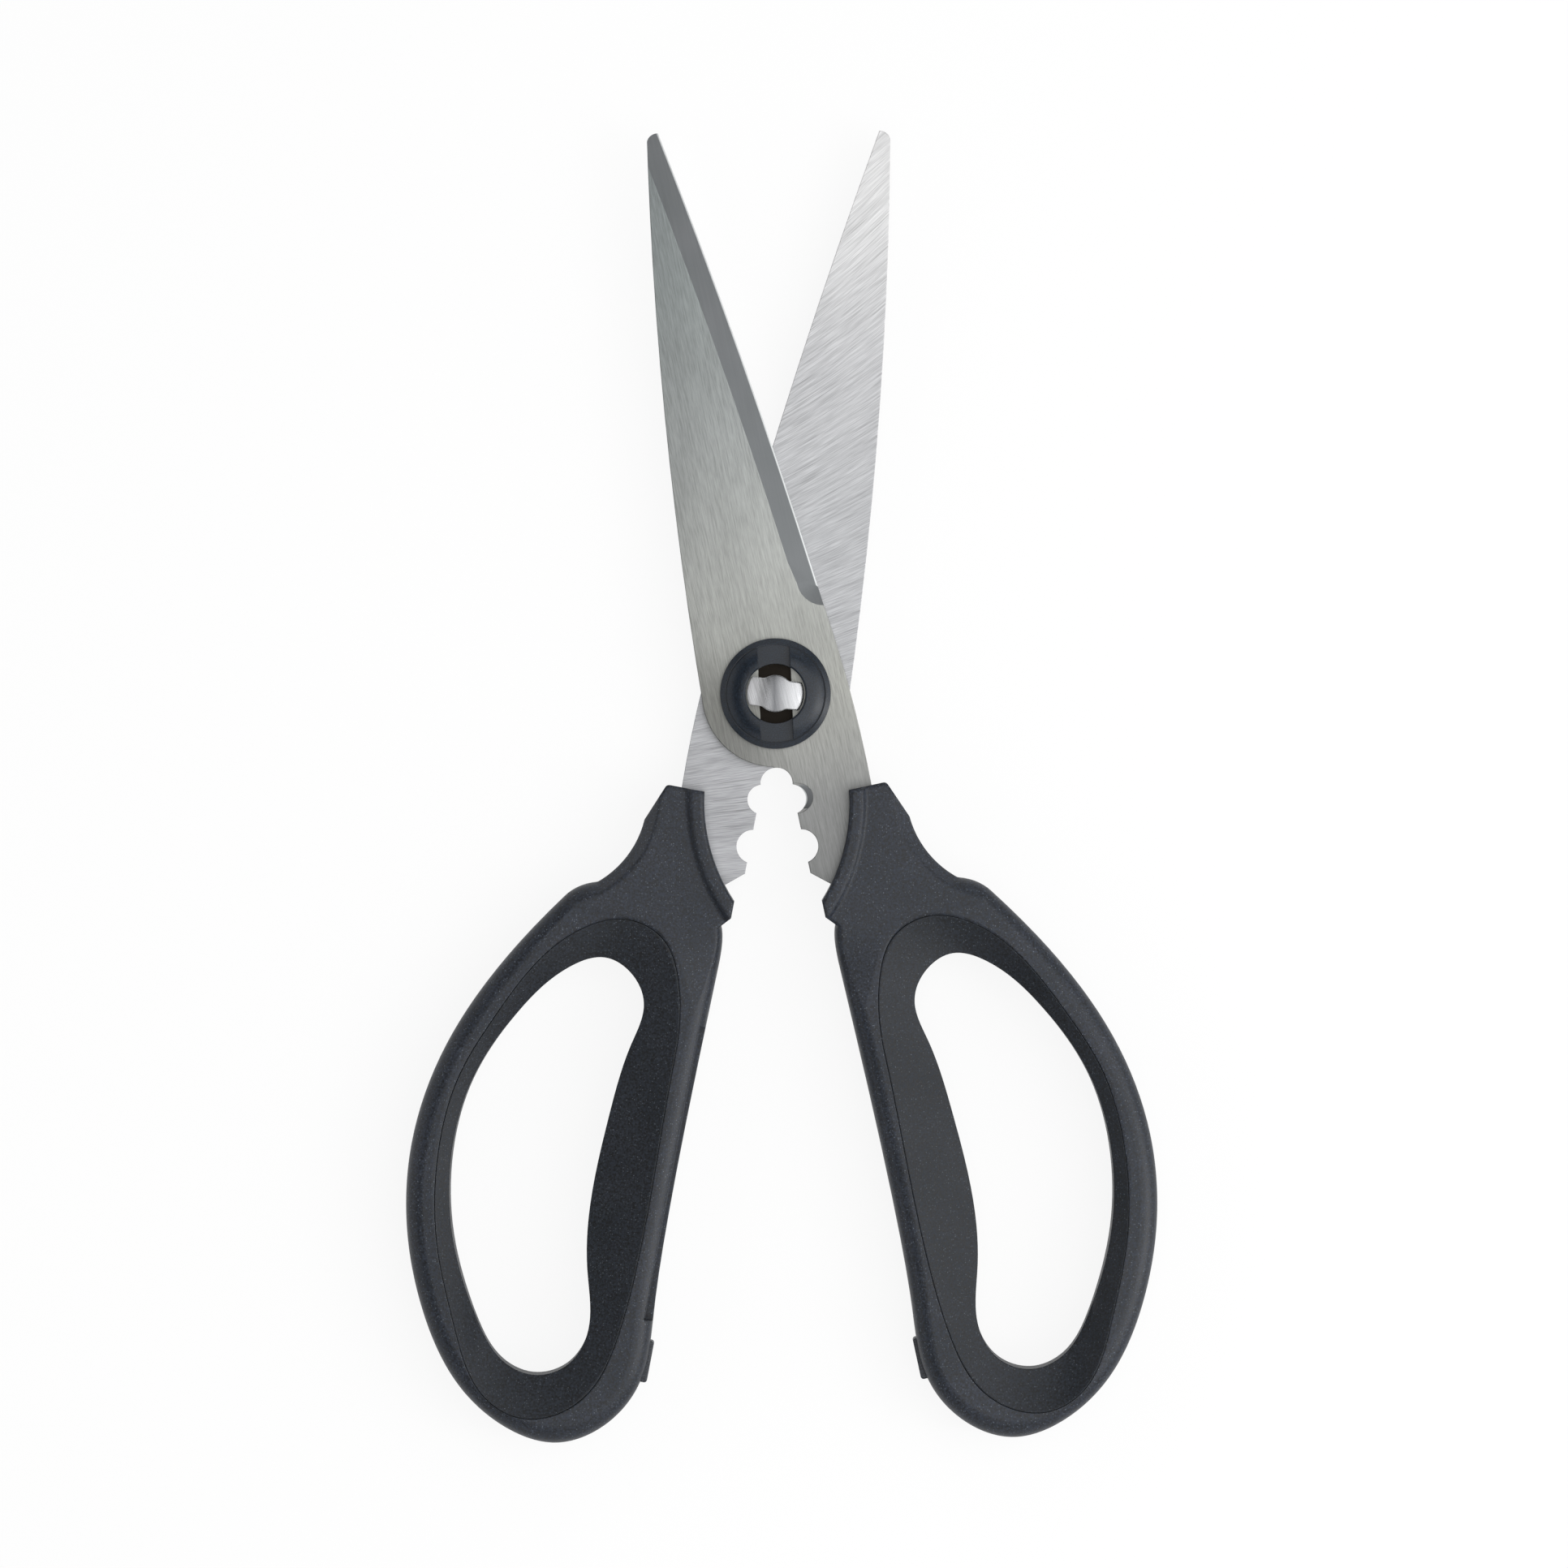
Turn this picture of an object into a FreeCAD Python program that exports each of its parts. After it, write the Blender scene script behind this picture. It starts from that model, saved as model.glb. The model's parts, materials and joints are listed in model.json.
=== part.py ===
import FreeCAD, Part
import math
import os

import Sketcher

# Take-apart kitchen shears lying flat, shown part open.
# Each half is drawn closed, about its pivot: +Y to the blade tip, +X to its handle, z = 0 between the blades.
# The rear half is the front half turned over about Y. Both are then opened, and stood on the backs of the handles.

V = FreeCAD.Vector

# Driving dimensions: millimetres, and degrees where the name ends in angle
SIZES = {
    # pose
    "open_angle": 11.45,
    # blades
    "blade_reach": 96.0,
    "blade_half_width": 12.2,
    "blade_thickness": 2.0,
    "blade_gap": 0.1,
    "bevel_width": 3.6,
    "edge_land": 0.25,
    "heel_rise": 12.7,
    "heel_radius": 4.5,
    "heel_inset": 0.9,
    "heel_angle": 60.0,
    # tangs, with the herb-stripping scallops
    "ricasso_radius": 12.3,
    "tang_reach": 38.0,
    "land_past_centre": 0.6,
    "scallop_radius": 2.5,
    "lower_scallop_radius": 2.85,
    "scallop_inset": 0.55,
    "scallop_drop": 17.85,
    "scallop_pitch": 8.05,
    "scallop_flare": 1.2,
    "arch_radius": 2.65,
    "arch_inset": 2.35,
    "arch_drop": 14.75,
    "anchor_diameter": 3.2,
    # pivot
    "keyway_diameter": 6.3,
    "keyway_width": 5.4,
    "keyway_length": 10.0,
    "keyway_angle": -9.75,
    "shank_clearance": 0.05,
    "head_lift": 0.05,
    "head_thickness": 2.3,
    "head_dome_radius": 14.0,
    "wing_span": 9.5,
    "wing_width": 4.7,
    "wing_blend": 1.2,
    "wing_angle": 3.75,
    "rivet_diameter": 4.2,
    "rivet_flare": 0.9,
    "rivet_clearance": 0.02,
    "collar_diameter": 18.5,
    "collar_rim": 0.85,
    "collar_rim_height": 1.1,
    "groove_width": 0.2,
    "groove_depth": 0.25,
    "collar_height": 2.6,
    "collar_dome_rise": 0.25,
    "well_diameter": 10.0,
    "well_chamfer": 0.25,
    "channel_width": 5.4,
    "channel_floor": 1.0,
    "post_diameter": 2.0,
    "post_circle": 14.4,
    "post_clearance": 0.02,
    # handles
    "handle_thickness": 12.0,
    "collar_drop": 18.35,
    "neck_gap": 0.3,
    "neck_width": 27.6,
    "neck_length": 21.2,
    "neck_round": 0.6,
    "shoulder_round": 0.7,
    "bead_width": 2.2,
    "bead_relief": 0.9,
    "relief_run": 8.0,
    "facet_depth": 3.2,
    "facet_run": 2.9,
    "loop_gap": 0.7,
    "loop_width": 45.1,
    "loop_length": 94.3,
    "loop_lap": 3.75,
    "arm_width": 10.2,
    "ring_width": 6.9,
    "loop_top_width": 12.9,
    "loop_bottom_width": 10.5,
    "ring_round": 2.9,
    "loop_sink": 0.05,
    "ledge_depth": 1.4,
    "ledge_height": 1.2,
    "ledge_length": 50.0,
    "ledge_inset": 21.2,
    # soft liners
    "liner_arm_width": 6.0,
    "liner_ring_width": 2.2,
    "liner_top_width": 7.0,
    "liner_bottom_width": 7.3,
    "dish_depth": 3.6,
    "dish_arm_run": 12.0,
    "dish_ring_run": 4.8,
    "dish_top_run": 10.8,
    "dish_bottom_run": 10.8,
    "crease_gap": 0.08,
    "tongue_height": 5.0,
    "tongue_root": 1.0,
    # stop pads
    "pad_length": 7.0,
    "pad_height": 5.0,
    "pad_rise": 12.7,
    "pad_proud": 1.0,
    "pad_seat": 1.6,
    "pad_round": 0.5,
    # how far a cutting tool runs past what it cuts
    "overrun": 5.0,
}

# Blade outline: shares of the half width and of the reach, from the cutting side of the tip round to the spine
TIP_EDGE_SHARE = (0.041, 1.0)
EDGE_MIDDLE_SHARE = (0.582, 0.521)
HEEL_SHARE = (0.902, 0.135)
SPINE_MIDDLE_SHARE = (-0.678, 0.521)
TIP_SPINE_SHARE = (-0.13, 0.989)
TIP_TOP_SHARE = (-0.07, 0.9975)
# Bevel grinding: how far its side leans towards the spine at the tip
BEVEL_SIDE_SHARE = -0.75
# Tang outline below the pivot: shares of the half width and of the tang's reach
TANG_SIDE_SHARES = ((1.008, 0.05), (1.025, 0.49))
TANG_TAIL_SHARES = ((1.07, 0.72), (1.03, 0.96), (0.57, 1.0), (0.38, 0.95), (0.262, 0.89))
TANG_POINT_SHARE = 0.805
ANCHOR_SHARES = ((0.90, 0.70), (0.75, 0.88))
# Neck outline: shares of the neck's width and length, from its blade corner round to its foot
NECK_CORNER_SHARE = (0.301, 0.0)
NECK_SHOULDER_SHARE = (0.532, 0.0)
THUMB_SHARES = ((0.627, 0.305), (0.735, 0.712), (1.0, 0.985))
NECK_BASE_SHARES = ((0.97, 1.08), (0.27, 1.08), (0.14, 1.06), (0.06, 1.03))
NECK_FOOT_SHARES = ((0.0, 0.943), (0.0, 0.81))
NECK_BITE_SHARE = (0.205, 0.424)
# Sloped facet along the thumb curve, where it meets the top face
FACET_SHARES = ((0.543, 0.114), (0.640, 0.686), (1.029, 1.10))
# How steeply the bead's side falls to the plate: its run as a share of its depth
BEAD_SIDE_SHARE = 0.8
# How steeply the collar's rim rises: its height as a share of its width
RIM_RISE_SHARE = 0.6
# Most that the loop's edges are rounded, as a share of its narrowest wall
RING_ROUND_SHARE = 0.42
# How far the tool of the liner's hollow runs on above the crease, as a share of its depth
DISH_OVER_SHARE = 0.5
# How many points of the crease each curve of the hollow's outline spans
DISH_STEP = 4
# How deep the frame's tongue reaches into the liner, as a share of the liner's thinnest side
TONGUE_SHARE = 0.36
# Closed curves of the loop: shares of each curve's own width and length, from its lower left corner
LOOP_SHARES = (
    (0.612, 0.958), (0.803, 0.814), (0.945, 0.654), (1.0, 0.475), (0.960, 0.329), (0.849, 0.192),
    (0.652, 0.065), (0.466, 0.012), (0.266, 0.001), (0.100, 0.048), (0.004, 0.130), (0.000, 0.258),
    (0.013, 0.406), (0.013, 0.639), (0.004, 0.873), (0.035, 0.968), (0.288, 1.0),
)
OPENING_SHARES = (
    (0.032, 0.892), (0.136, 0.972), (0.314, 1.0), (0.507, 0.965), (0.771, 0.834), (0.964, 0.653),
    (1.0, 0.484), (0.907, 0.293), (0.671, 0.107), (0.479, 0.022), (0.279, 0.001), (0.079, 0.042),
    (0.0, 0.131), (0.071, 0.265), (0.132, 0.455), (0.118, 0.632), (0.064, 0.815),
)
CREASE_SHARES = (
    (0.006, 0.752), (0.000, 0.553), (0.000, 0.318), (0.030, 0.177), (0.105, 0.076), (0.257, 0.015),
    (0.423, 0.000), (0.588, 0.029), (0.773, 0.148), (0.928, 0.306), (1.0, 0.482), (0.972, 0.635),
    (0.859, 0.766), (0.693, 0.899), (0.530, 0.969), (0.340, 1.0), (0.160, 0.975), (0.055, 0.899),
)

doc = FreeCAD.newDocument("kitchen_shears")
sheet = doc.addObject("Spreadsheet::Sheet", "sizes")
for row, (alias, value) in enumerate(SIZES.items(), start=1):
    sheet.set("A%d" % row, alias)
    sheet.set("B%d" % row, str(value))
    sheet.setAlias("B%d" % row, alias)
doc.recompute()


def size(alias):
    """A driving dimension, read from the sheet."""
    return float(sheet.get(alias))


# Places that several pieces share
half_gap = size("blade_gap") / 2
blade_top = half_gap + size("blade_thickness")
half_handle = size("handle_thickness") / 2
overrun = size("overrun")


def blade_point(share):
    return V(share[0] * size("blade_half_width"), share[1] * size("blade_reach"), 0)


def tang_point(share):
    return V(share[0] * size("blade_half_width"), -share[1] * size("tang_reach"), 0)


def neck_point(share):
    x = size("neck_gap") + share[0] * size("neck_width")
    return V(x, -size("collar_drop") - share[1] * size("neck_length"), 0)


def closed_curve(shares, box):
    """A smooth closed curve through shares of a box given as left, bottom, right, top."""
    left, bottom, right, top = box
    points = [V(left + x * (right - left), bottom + y * (top - bottom), 0) for x, y in shares]
    curve = Part.BSplineCurve()
    curve.interpolate(points, PeriodicFlag=True)
    return curve


# The loop hangs from the neck, which it laps
loop_top = size("loop_lap") - size("collar_drop") - size("neck_length")
loop_box = (
    size("loop_gap"),
    loop_top - size("loop_length"),
    size("loop_gap") + size("loop_width"),
    loop_top,
)
opening_box = (
    loop_box[0] + size("arm_width"),
    loop_box[1] + size("loop_bottom_width"),
    loop_box[2] - size("ring_width"),
    loop_box[3] - size("loop_top_width"),
)


def crease_box(inset):
    return (
        opening_box[0] - size("liner_arm_width") + inset,
        opening_box[1] - size("liner_bottom_width") + inset,
        opening_box[2] + size("liner_ring_width") - inset,
        opening_box[3] + size("liner_top_width") - inset,
    )


loop_curve = closed_curve(LOOP_SHARES, loop_box)
opening_curve = closed_curve(OPENING_SHARES, opening_box)


def opened(point):
    """A point of the front half, turned about the pivot to its open place."""
    return FreeCAD.Rotation(V(0, 0, 1), size("open_angle")).multVec(point)


# The pivot stands so that the object's box is centred over the origin
highest = opened(blade_point(TIP_EDGE_SHARE)).y
lowest = min(opened(point).y for point in loop_curve.discretize(Number=len(LOOP_SHARES) ** 2))
stand = FreeCAD.Placement(V(0, -(highest + lowest) / 2, half_handle), FreeCAD.Rotation())
opening_turn = FreeCAD.Rotation(V(0, 0, 1), size("open_angle"))
closing_turn = FreeCAD.Rotation(V(0, 0, 1), -size("open_angle"))
turn_over = FreeCAD.Rotation(V(0, 1, 0), 180)
HALF_PLACES = {
    "front": stand * FreeCAD.Placement(V(), opening_turn),
    "rear": stand * FreeCAD.Placement(V(), closing_turn * turn_over),
}


def line(start, end):
    return Part.LineSegment(start, end)


def arc(start, middle, end):
    return Part.Arc(start, middle, end)


def chain(points):
    """Straight lines from each point to the next."""
    return [line(start, end) for start, end in zip(points, points[1:])]


def new_body(name):
    return doc.addObject("PartDesign::Body", name)


def solid(kind, name, local=None, **expressions):
    """A primitive whose sizes are bound to the sheet."""
    item = doc.addObject(kind, name)
    item.Placement = local or FreeCAD.Placement()
    for key, expression in expressions.items():
        item.setExpression(key, expression)
    return item


def cut(name, base, tools):
    """The base with each tool taken away in turn."""
    for number, tool in enumerate(tools):
        item = doc.addObject("Part::Cut", "%s_%d" % (name, number))
        item.Base = base
        item.Tool = tool
        item.Refine = True
        base = item
    return base


def fuse(name, shapes):
    item = doc.addObject("Part::MultiFuse", name)
    item.Shapes = shapes
    item.Refine = True
    return item


def common(name, base, tool):
    item = doc.addObject("Part::Common", name)
    item.Base = base
    item.Tool = tool
    return item


def plane(body, role):
    return [item for item in body.Origin.OriginFeatures if item.Role == role][0]


def sketch(body, name, geometry, height="0", role="XY_Plane"):
    """A sketch on one of the body's own origin planes, lifted to a height given as an expression."""
    item = body.newObject("Sketcher::SketchObject", name)
    item.AttachmentSupport = [(plane(body, role), "")]
    item.MapMode = "FlatFace"
    item.setExpression("AttachmentOffset.Base.z", height)
    for piece in geometry:
        item.addGeometry(piece, False)
    return item


def circle(item, x, y, radius):
    """A circle in a sketch, its centre and radius bound to expressions."""
    index = item.addGeometry(Part.Circle(V(), V(0, 0, 1), 1), False)
    for kind, expression in (("DistanceX", x), ("DistanceY", y)):
        number = item.addConstraint(Sketcher.Constraint(kind, -1, 1, index, 3, 1))
        item.setExpression("Constraints[%d]" % number, expression)
    number = item.addConstraint(Sketcher.Constraint("Radius", index, 1))
    item.setExpression("Constraints[%d]" % number, radius)


def pad(body, name, profile, length, **settings):
    item = body.newObject("PartDesign::Pad", name)
    item.Profile = profile
    item.setExpression("Length", length)
    for key, value in settings.items():
        setattr(item, key, value)
    return item


def pocket(body, name, profile):
    """A cut through everything, both ways from the sketch."""
    item = body.newObject("PartDesign::Pocket", name)
    item.Profile = profile
    item.Type = "ThroughAll"
    item.Midplane = True
    return item


def flat_edges(feature, wanted):
    """Names of the edges that lie level, and whose middle a test accepts."""
    doc.recompute()
    names = []
    for number, edge in enumerate(feature.Shape.Edges, start=1):
        middle = edge.valueAt((edge.FirstParameter + edge.LastParameter) / 2)
        if edge.BoundBox.ZLength < half_gap / 2 and wanted(middle):
            names.append("Edge%d" % number)
    return names


def upright_edges(feature, near, reach):
    """Names of the upright edges within reach of a point of the plan."""
    doc.recompute()
    names = []
    for number, edge in enumerate(feature.Shape.Edges, start=1):
        start = edge.Vertexes[0].Point
        level = math.hypot(start.x - near.x, start.y - near.y)
        if edge.BoundBox.ZLength > reach and level < reach:
            names.append("Edge%d" % number)
    return names


def fillet(body, name, base, edges, radius):
    item = body.newObject("PartDesign::Fillet", name)
    item.Base = (base, edges)
    item.setExpression("Radius", radius)
    return item


def at(x=0, y=0, z=0, turn=0):
    """A place in the half's own frame, turned about z."""
    return FreeCAD.Placement(V(x, y, z), FreeCAD.Rotation(V(0, 0, 1), turn))


def turned(point, angle):
    return FreeCAD.Rotation(V(0, 0, 1), angle).multVec(point)


# Blades


def blade_blank():
    """The blade and its tang, with scallops and anchor holes, before grinding."""
    body = new_body("blade_blank")
    tip_edge = blade_point(TIP_EDGE_SHARE)
    heel = blade_point(HEEL_SHARE)
    tip_spine = blade_point(TIP_SPINE_SHARE)
    side_middle, side_end = [tang_point(share) for share in TANG_SIDE_SHARES]
    tail = [tang_point(share) for share in TANG_TAIL_SHARES]
    land = -size("land_past_centre")
    point = V(land, -TANG_POINT_SHARE * size("tang_reach"), 0)
    ricasso = size("ricasso_radius")
    arch = V(land - size("arch_inset"), -size("arch_drop"), 0)
    ricasso_end = V(arch.x, -math.sqrt(ricasso**2 - arch.x**2), 0)
    ricasso_start = V(-ricasso, 0, 0)
    ricasso_middle = (ricasso_start + ricasso_end).normalize() * ricasso
    outline = [
        arc(tip_edge, blade_point(EDGE_MIDDLE_SHARE), heel),
        arc(heel, side_middle, side_end),
        *chain([side_end, *tail, point, V(land, arch.y, 0), arch, ricasso_end]),
        arc(ricasso_end, ricasso_middle, ricasso_start),
        arc(ricasso_start, blade_point(SPINE_MIDDLE_SHARE), tip_spine),
        arc(tip_spine, blade_point(TIP_TOP_SHARE), tip_edge),
    ]
    profile = sketch(body, "blade_outline", outline, "sizes.blade_gap / 2")
    pad(body, "blade_sheet", profile, "sizes.blade_thickness")
    inset = "-sizes.land_past_centre - sizes."
    arch_edge = sketch(body, "arch_outline", [])
    circle(arch_edge, inset + "arch_inset", "-sizes.arch_drop", "sizes.arch_radius")
    pocket(body, "tang_arch", arch_edge)
    scallops = {
        "upper_scallop": ("-sizes.scallop_drop", "sizes.scallop_radius"),
        "lower_scallop": ("-sizes.scallop_drop - sizes.scallop_pitch", "sizes.lower_scallop_radius"),
    }
    for name, (drop, radius) in scallops.items():
        scallop_edge = sketch(body, name + "_outline", [])
        circle(scallop_edge, inset + "scallop_inset", drop, radius)
        pocket(body, name, scallop_edge)
    anchors = sketch(body, "anchor_outline", [])
    for share in ANCHOR_SHARES:
        x = "%g * sizes.blade_half_width" % share[0]
        y = "-%g * sizes.tang_reach" % share[1]
        circle(anchors, x, y, "sizes.anchor_diameter / 2")
    pocket(body, "anchor_holes", anchors)
    return body


def bevel_tool():
    """What grinding takes off the outer face: a strip along the edge, down to a shallow cone that follows it."""
    tip_edge = blade_point(TIP_EDGE_SHARE)
    edge = arc(tip_edge, blade_point(EDGE_MIDDLE_SHARE), blade_point(HEEL_SHARE)).toShape().Curve
    depth = size("blade_thickness") - size("edge_land")
    slope = size("bevel_width") / depth
    floor = half_gap + size("edge_land")
    far = tip_edge.y + overrun
    right = size("blade_half_width") + overrun
    turn = size("heel_radius")
    low = size("heel_rise")
    centre = V(blade_point(HEEL_SHARE).x + size("heel_inset"), low + turn, 0)
    round_start = centre + V(-turn, 0, 0)
    round_middle = centre + V(-turn, -turn, 0).normalize() * turn
    round_end = centre + V(0, -turn, 0)
    corners = [
        round_end,
        V(right, low, 0),
        V(right, far, 0),
        V(BEVEL_SIDE_SHARE * size("blade_half_width"), far, 0),
        round_start,
    ]
    body = new_body("bevel_strip")
    outline = [*chain(corners), arc(round_start, round_middle, round_end)]
    profile = sketch(body, "bevel_outline", outline, "sizes.blade_gap / 2 + sizes.blade_thickness")
    strip = pad(body, "bevel_pad", profile, "sizes.blade_thickness", Reversed=True)
    strip.setExpression("TaperAngle", "-sizes.heel_angle")
    cone = solid("Part::Cone", "bevel_cone", at(edge.Center.x, edge.Center.y, half_gap))
    cone.Radius1 = edge.Radius + (floor - half_gap) * slope
    cone.Radius2 = edge.Radius - (depth + overrun) * slope
    cone.Height = size("blade_thickness") + overrun
    return cut("bevel_tool", body, [cone])


def scallop_flare():
    """The leaning wall of the upper scallop, as a slanted drill leaves it towards the outer face."""
    lean = math.atan2(size("scallop_flare"), size("blade_thickness"))
    turn = FreeCAD.Rotation(V(0, 1, 0), math.degrees(lean))
    shift = size("scallop_radius") / math.cos(lean) - size("scallop_radius")
    centre = V(-size("land_past_centre") - size("scallop_inset") - shift, -size("scallop_drop"), half_gap)
    return solid(
        "Part::Cylinder",
        "scallop_drill",
        FreeCAD.Placement(centre - turn.multVec(V(0, 0, overrun)), turn),
        Radius="sizes.scallop_radius",
        Height="2 * sizes.overrun + sizes.blade_thickness",
    )


def post_places():
    """Where the collar's posts go through the front blade, either side of the channel."""
    for quarter in range(4):
        turn = size("keyway_angle") + 45 + 90 * quarter
        yield turned(V(size("post_circle") / 2, 0, 0), turn)


def keyway_tools():
    """The key hole of the front blade and the holes for the collar's posts."""
    height = "sizes.blade_thickness + 2 * sizes.overrun"
    low = half_gap - overrun
    turn = size("keyway_angle")
    bore = solid(
        "Part::Cylinder", "keyway_bore", at(z=low), Radius="sizes.keyway_diameter / 2", Height=height
    )
    corner = turned(V(-size("keyway_width") / 2, -size("keyway_length") / 2, 0), turn)
    slot = solid(
        "Part::Box",
        "keyway_slot",
        at(corner.x, corner.y, low, turn),
        Length="sizes.keyway_width",
        Width="sizes.keyway_length",
        Height=height,
    )
    round_end = solid(
        "Part::Cylinder", "keyway_round", at(z=low), Radius="sizes.keyway_length / 2", Height=height
    )
    tools = [bore, common("keyway_wings", slot, round_end)]
    for number, place in enumerate(post_places()):
        tools.append(
            solid(
                "Part::Cylinder",
                "post_hole_%d" % number,
                at(place.x, place.y, low),
                Radius="sizes.post_diameter / 2 + sizes.post_clearance",
                Height=height,
            )
        )
    return tools


def rivet_solids(name, clearance):
    """The riveted tail of the stud, or the countersunk hole it fills."""
    tail = solid(
        "Part::Cylinder",
        name + "_tail",
        at(z=half_gap),
        Radius="sizes.rivet_diameter / 2 + " + clearance,
        Height="sizes.blade_thickness",
    )
    flare = solid(
        "Part::Cone",
        name + "_flare",
        at(z=blade_top - size("rivet_flare")),
        Radius1="sizes.rivet_diameter / 2 + " + clearance,
        Radius2="sizes.rivet_diameter / 2 + sizes.rivet_flare + " + clearance,
        Height="sizes.rivet_flare",
    )
    return [tail, flare]


def blades():
    """The blank, which the handles are moulded round, and the two blades made from it."""
    blank = blade_blank()
    ground = cut("ground_blade", blank, [bevel_tool(), scallop_flare()])
    front = cut("keyed_blade", ground, keyway_tools())
    rear = cut("riveted_blade", ground, rivet_solids("rivet_hole", "sizes.rivet_clearance"))
    return blank, front, rear


# Pivot


def collar():
    """The moulded disc round the key head: a rim, a groove and a domed ring with a channel, held by posts."""
    body = new_body("collar_disc")
    outer = size("collar_diameter") / 2
    well = size("well_diameter") / 2
    foot = blade_top
    rim_top = foot + size("collar_rim_height")
    crown = foot + size("collar_height")
    chamfer = size("well_chamfer")
    rim = V(outer - size("collar_rim"), rim_top + RIM_RISE_SHARE * size("collar_rim"), 0)
    shoulder = rim - V(size("groove_width"), 0, 0)
    lip = V(well + chamfer, crown, 0)
    swell = (shoulder + lip) / 2 + V(0, size("collar_dome_rise"), 0)
    sink = V(0, size("groove_depth"), 0)
    body_side = [V(well, crown - chamfer, 0), V(well, foot, 0), V(outer, foot, 0), V(outer, rim_top, 0)]
    corners = [*body_side, rim, rim - sink, shoulder - sink, shoulder]
    outline = [*chain(corners), arc(shoulder, swell, lip), line(lip, corners[0])]
    profile = sketch(body, "collar_profile", outline, role="XZ_Plane")
    ring = body.newObject("PartDesign::Revolution", "collar_ring")
    ring.Profile = profile
    ring.ReferenceAxis = (profile, ["V_Axis"])
    ring.Angle = 360
    width = size("channel_width")
    reach = shoulder.x
    corner = turned(V(-width / 2, -reach, 0), size("keyway_angle"))
    trough = solid(
        "Part::Box",
        "collar_trough",
        at(corner.x, corner.y, foot + size("channel_floor"), size("keyway_angle")),
        Length="sizes.channel_width",
        Width="sizes.collar_diameter - 2 * (sizes.collar_rim + sizes.groove_width)",
        Height="sizes.collar_height",
    )
    reach_round = solid(
        "Part::Cylinder",
        "collar_trough_end",
        at(z=foot),
        Radius="sizes.collar_diameter / 2 - sizes.collar_rim - sizes.groove_width",
        Height="sizes.collar_height + sizes.overrun",
    )
    channel = common("collar_channel", trough, reach_round)
    posts = [
        solid(
            "Part::Cylinder",
            "collar_post_%d" % number,
            at(place.x, place.y, half_gap),
            Radius="sizes.post_diameter / 2",
            Height="sizes.blade_thickness + sizes.channel_floor",
        )
        for number, place in enumerate(post_places())
    ]
    return fuse("collar", [cut("collar_cap", body, [channel]), *posts])


def stud():
    """The key: a domed head with two wings, a round shank and a riveted tail, all fixed to the rear blade."""
    # the rear half is turned over, so its own -z is up
    head_low = blade_top + size("head_lift")
    head_top = head_low + size("head_thickness")
    top = "-sizes.blade_gap / 2 - sizes.blade_thickness - sizes.head_lift - sizes.head_thickness"
    centre_radius = size("keyway_diameter") / 2 - size("shank_clearance")
    wing = size("wing_width") / 2
    blend = size("wing_blend")
    body = new_body("stud_head")
    disc = sketch(body, "stud_disc", [], top)
    circle(disc, "0", "0", "sizes.keyway_diameter / 2 - sizes.shank_clearance")
    pad(body, "stud_disc_pad", disc, "sizes.head_thickness")
    # each wing flares into the round centre through a hollow blend
    hollow_y = wing + blend
    hollow_x = math.sqrt((centre_radius + blend) ** 2 - hollow_y**2)
    share = centre_radius / (centre_radius + blend)
    far = size("wing_span")
    for side in (1, -1):
        upper = [V(hollow_x * share, hollow_y * share, 0), V(hollow_x, wing, 0), V(far, wing, 0)]
        lower = [V(point.x, -point.y, 0) for point in upper]
        hollow = V(hollow_x, hollow_y, 0)
        bend = hollow + (upper[0] + upper[1] - hollow * 2).normalize() * blend
        low_bend = V(bend.x, -bend.y, 0)
        outline = [
            arc(upper[0], bend, upper[1]),
            line(upper[1], upper[2]),
            line(upper[2], lower[2]),
            line(lower[2], lower[1]),
            arc(lower[1], low_bend, lower[0]),
            line(lower[0], upper[0]),
        ]
        turn = FreeCAD.Rotation(V(0, 0, 1), 90 - 90 * side - size("wing_angle"))
        for piece in outline:
            piece.rotate(FreeCAD.Placement(V(), turn))
        wing_profile = sketch(body, "stud_wing_outline_%d" % (side + 1), outline, top)
        pad(body, "stud_wing_%d" % (side + 1), wing_profile, "sizes.head_thickness")
    dome = solid(
        "Part::Sphere", "stud_dome", at(z=size("head_dome_radius") - head_top), Radius="sizes.head_dome_radius"
    )
    tip_round = solid(
        "Part::Cylinder",
        "stud_wing_round",
        at(z=-head_top),
        Radius="sizes.wing_span / 2",
        Height="sizes.head_thickness",
    )
    shank = solid(
        "Part::Cylinder",
        "stud_shank",
        at(z=-head_low),
        Radius="sizes.keyway_diameter / 2 - sizes.shank_clearance",
        Height="sizes.head_lift + sizes.blade_thickness + sizes.blade_gap",
    )
    head = common("stud_cap", common("stud_key", body, tip_round), dome)
    return fuse("stud", [head, shank, *rivet_solids("stud", "0")])


# Handles


def loop_ring():
    """The loop: a flat ring with its edges rounded to a tube."""
    body = new_body("loop_ring")
    profile = sketch(body, "loop_outline", [loop_curve, opening_curve])
    thickness = "sizes.handle_thickness - 2 * sizes.loop_sink"
    ring = pad(body, "loop_pad", profile, thickness, Midplane=True)
    edges = flat_edges(ring, lambda middle: True)
    fillet(body, "loop_round", ring, edges, "min(sizes.ring_round; %g * sizes.ring_width)" % RING_ROUND_SHARE)
    return body


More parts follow.
